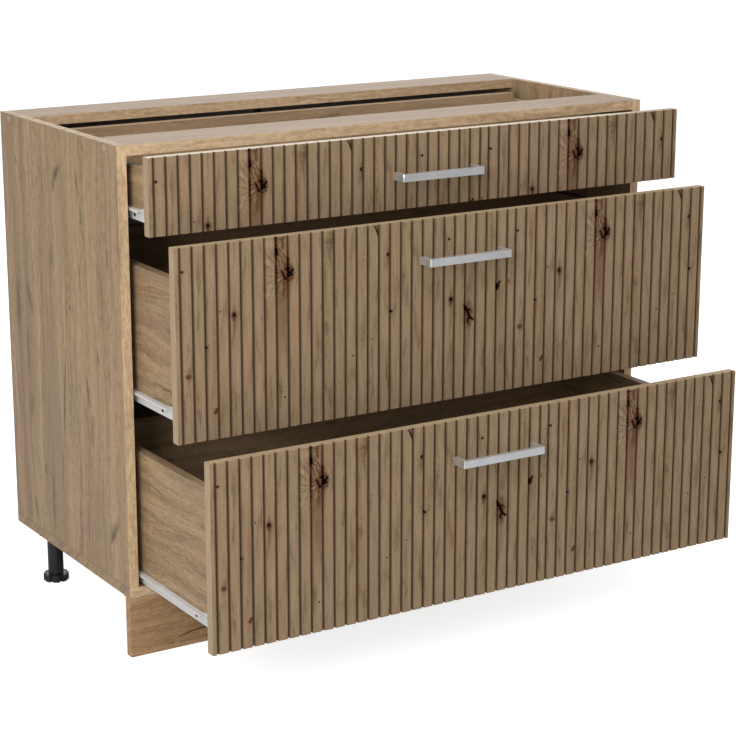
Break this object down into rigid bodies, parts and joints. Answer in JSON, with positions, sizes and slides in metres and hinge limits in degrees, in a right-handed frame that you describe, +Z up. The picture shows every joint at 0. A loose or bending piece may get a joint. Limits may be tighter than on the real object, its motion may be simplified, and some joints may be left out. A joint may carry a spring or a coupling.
{
  "type": "kitchen base cabinet with drawers",
  "caption": "Kitchen base cabinet with grooved oak drawer fronts on roller runners, square bow handles, plinth board and adjustable black legs.",
  "frame": {"origin": "on the floor, at the middle of the overall width and of the overall depth with the drawers standing open as in the picture", "axes": "+Z up, +X to the viewer's right when facing the fronts, the drawers open towards -Y"},
  "size_m": [1, 0.758, 0.82],
  "materials": {
    "oak_board": "matt oak melamine on chipboard",
    "grooved_oak": "matt knotty oak with milled grooves",
    "hardboard": "grey lacquered hardboard",
    "beech": "raw fluted dowel",
    "white_steel": "white epoxy powder coat",
    "zinc_steel": "zinc plated",
    "handle_metal": "satin",
    "nylon": "smooth nylon",
    "black_plastic": "moulded black plastic",
    "cap_plastic": "beige cover cap",
    "brown_plastic": "extruded brown plastic"
  },
  "bodies": {
    "carcass": {"left_side_panel": "oak_board", "right_side_panel": "oak_board", "bottom_panel": "oak_board", "front_top_rail": "oak_board", "rear_top_rail": "oak_board", "back_board_left": "hardboard", "back_board_right": "hardboard", "back_joint_strip": "brown_plastic", "plinth_board": "oak_board", "plinth_clips": "black_plastic", "leg_sockets": "black_plastic", "leg_tubes": "black_plastic", "confirmat_screws": "zinc_steel", "confirmat_caps": "cap_plastic", "rail_dowels": "beech", "top_cabinet_runner_left": "white_steel", "top_cabinet_runner_right": "white_steel", "middle_cabinet_runner_left": "white_steel", "middle_cabinet_runner_right": "white_steel", "bottom_cabinet_runner_left": "white_steel", "bottom_cabinet_runner_right": "white_steel"},
    "top_drawer": {"top_drawer_front": "grooved_oak", "top_drawer_side_left": "oak_board", "top_drawer_side_right": "oak_board", "top_drawer_back": "oak_board", "top_drawer_base": "hardboard", "top_drawer_runner_left": "white_steel", "top_drawer_runner_right": "white_steel", "top_handle": "handle_metal", "top_handle_screws": "zinc_steel"},
    "top_front_roller_pair": {"top_front_rollers": "nylon"},
    "top_rear_roller_pair": {"top_rear_rollers": "nylon"},
    "middle_drawer": {"middle_drawer_front": "grooved_oak", "middle_drawer_side_left": "oak_board", "middle_drawer_side_right": "oak_board", "middle_drawer_back": "oak_board", "middle_drawer_base": "hardboard", "middle_drawer_runner_left": "white_steel", "middle_drawer_runner_right": "white_steel", "middle_handle": "handle_metal", "middle_handle_screws": "zinc_steel"},
    "middle_front_roller_pair": {"middle_front_rollers": "nylon"},
    "middle_rear_roller_pair": {"middle_rear_rollers": "nylon"},
    "bottom_drawer": {"bottom_drawer_front": "grooved_oak", "bottom_drawer_side_left": "oak_board", "bottom_drawer_side_right": "oak_board", "bottom_drawer_back": "oak_board", "bottom_drawer_base": "hardboard", "bottom_drawer_runner_left": "white_steel", "bottom_drawer_runner_right": "white_steel", "bottom_handle": "handle_metal", "bottom_handle_screws": "zinc_steel"},
    "bottom_front_roller_pair": {"bottom_front_rollers": "nylon"},
    "bottom_rear_roller_pair": {"bottom_rear_rollers": "nylon"},
    "foot_front_left_body": {"foot_front_left": "black_plastic"},
    "foot_front_right_body": {"foot_front_right": "black_plastic"},
    "foot_rear_left_body": {"foot_rear_left": "black_plastic"},
    "foot_rear_right_body": {"foot_rear_right": "black_plastic"}
  },
  "joints": [
    {"name": "top_drawer_slide", "type": "slide", "parent": "carcass", "child": "top_drawer", "axis": [0, -1, 0], "range_m": [-0.084, 0.216]},
    {"name": "top_front_roller_spin", "type": "hinge", "parent": "carcass", "child": "top_front_roller_pair", "pos_m": [0, -0.04405, 0.71575], "axis": [1, 0, 0], "range_deg": [-644, 1653]},
    {"name": "top_rear_roller_spin", "type": "hinge", "parent": "top_drawer", "child": "top_rear_roller_pair", "pos_m": [0, 0.23495, 0.71755], "axis": [1, 0, 0], "range_deg": [-644, 1653]},
    {"name": "middle_drawer_slide", "type": "slide", "parent": "carcass", "child": "middle_drawer", "axis": [0, -1, 0], "range_m": [-0.162, 0.138]},
    {"name": "middle_front_roller_spin", "type": "hinge", "parent": "carcass", "child": "middle_front_roller_pair", "pos_m": [0, -0.04405, 0.42625], "axis": [1, 0, 0], "range_deg": [-1240, 1057]},
    {"name": "middle_rear_roller_spin", "type": "hinge", "parent": "middle_drawer", "child": "middle_rear_roller_pair", "pos_m": [0, 0.15695, 0.42805], "axis": [1, 0, 0], "range_deg": [-1240, 1057]},
    {"name": "bottom_drawer_slide", "type": "slide", "parent": "carcass", "child": "bottom_drawer", "axis": [0, -1, 0], "range_m": [-0.26, 0.04]},
    {"name": "bottom_front_roller_spin", "type": "hinge", "parent": "carcass", "child": "bottom_front_roller_pair", "pos_m": [0, -0.04405, 0.12725], "axis": [1, 0, 0], "range_deg": [-1989, 308]},
    {"name": "bottom_rear_roller_spin", "type": "hinge", "parent": "bottom_drawer", "child": "bottom_rear_roller_pair", "pos_m": [0, 0.05895, 0.12905], "axis": [1, 0, 0], "range_deg": [-1989, 308]},
    {"name": "foot_front_left_adjust", "type": "slide", "parent": "carcass", "child": "foot_front_left_body", "axis": [0, 0, -1], "range_m": [0, 0.02]},
    {"name": "foot_front_right_adjust", "type": "slide", "parent": "carcass", "child": "foot_front_right_body", "axis": [0, 0, -1], "range_m": [0, 0.02]},
    {"name": "foot_rear_left_adjust", "type": "slide", "parent": "carcass", "child": "foot_rear_left_body", "axis": [0, 0, -1], "range_m": [0, 0.02]},
    {"name": "foot_rear_right_adjust", "type": "slide", "parent": "carcass", "child": "foot_rear_right_body", "axis": [0, 0, -1], "range_m": [0, 0.02]}
  ],
  "couplings": [
    {"joint": "top_front_roller_spin", "follows": "top_drawer_slide", "rad_per_m": 133.33},
    {"joint": "top_rear_roller_spin", "follows": "top_drawer_slide", "rad_per_m": 133.33},
    {"joint": "middle_front_roller_spin", "follows": "middle_drawer_slide", "rad_per_m": 133.33},
    {"joint": "middle_rear_roller_spin", "follows": "middle_drawer_slide", "rad_per_m": 133.33},
    {"joint": "bottom_front_roller_spin", "follows": "bottom_drawer_slide", "rad_per_m": 133.33},
    {"joint": "bottom_rear_roller_spin", "follows": "bottom_drawer_slide", "rad_per_m": 133.33}
  ]
}
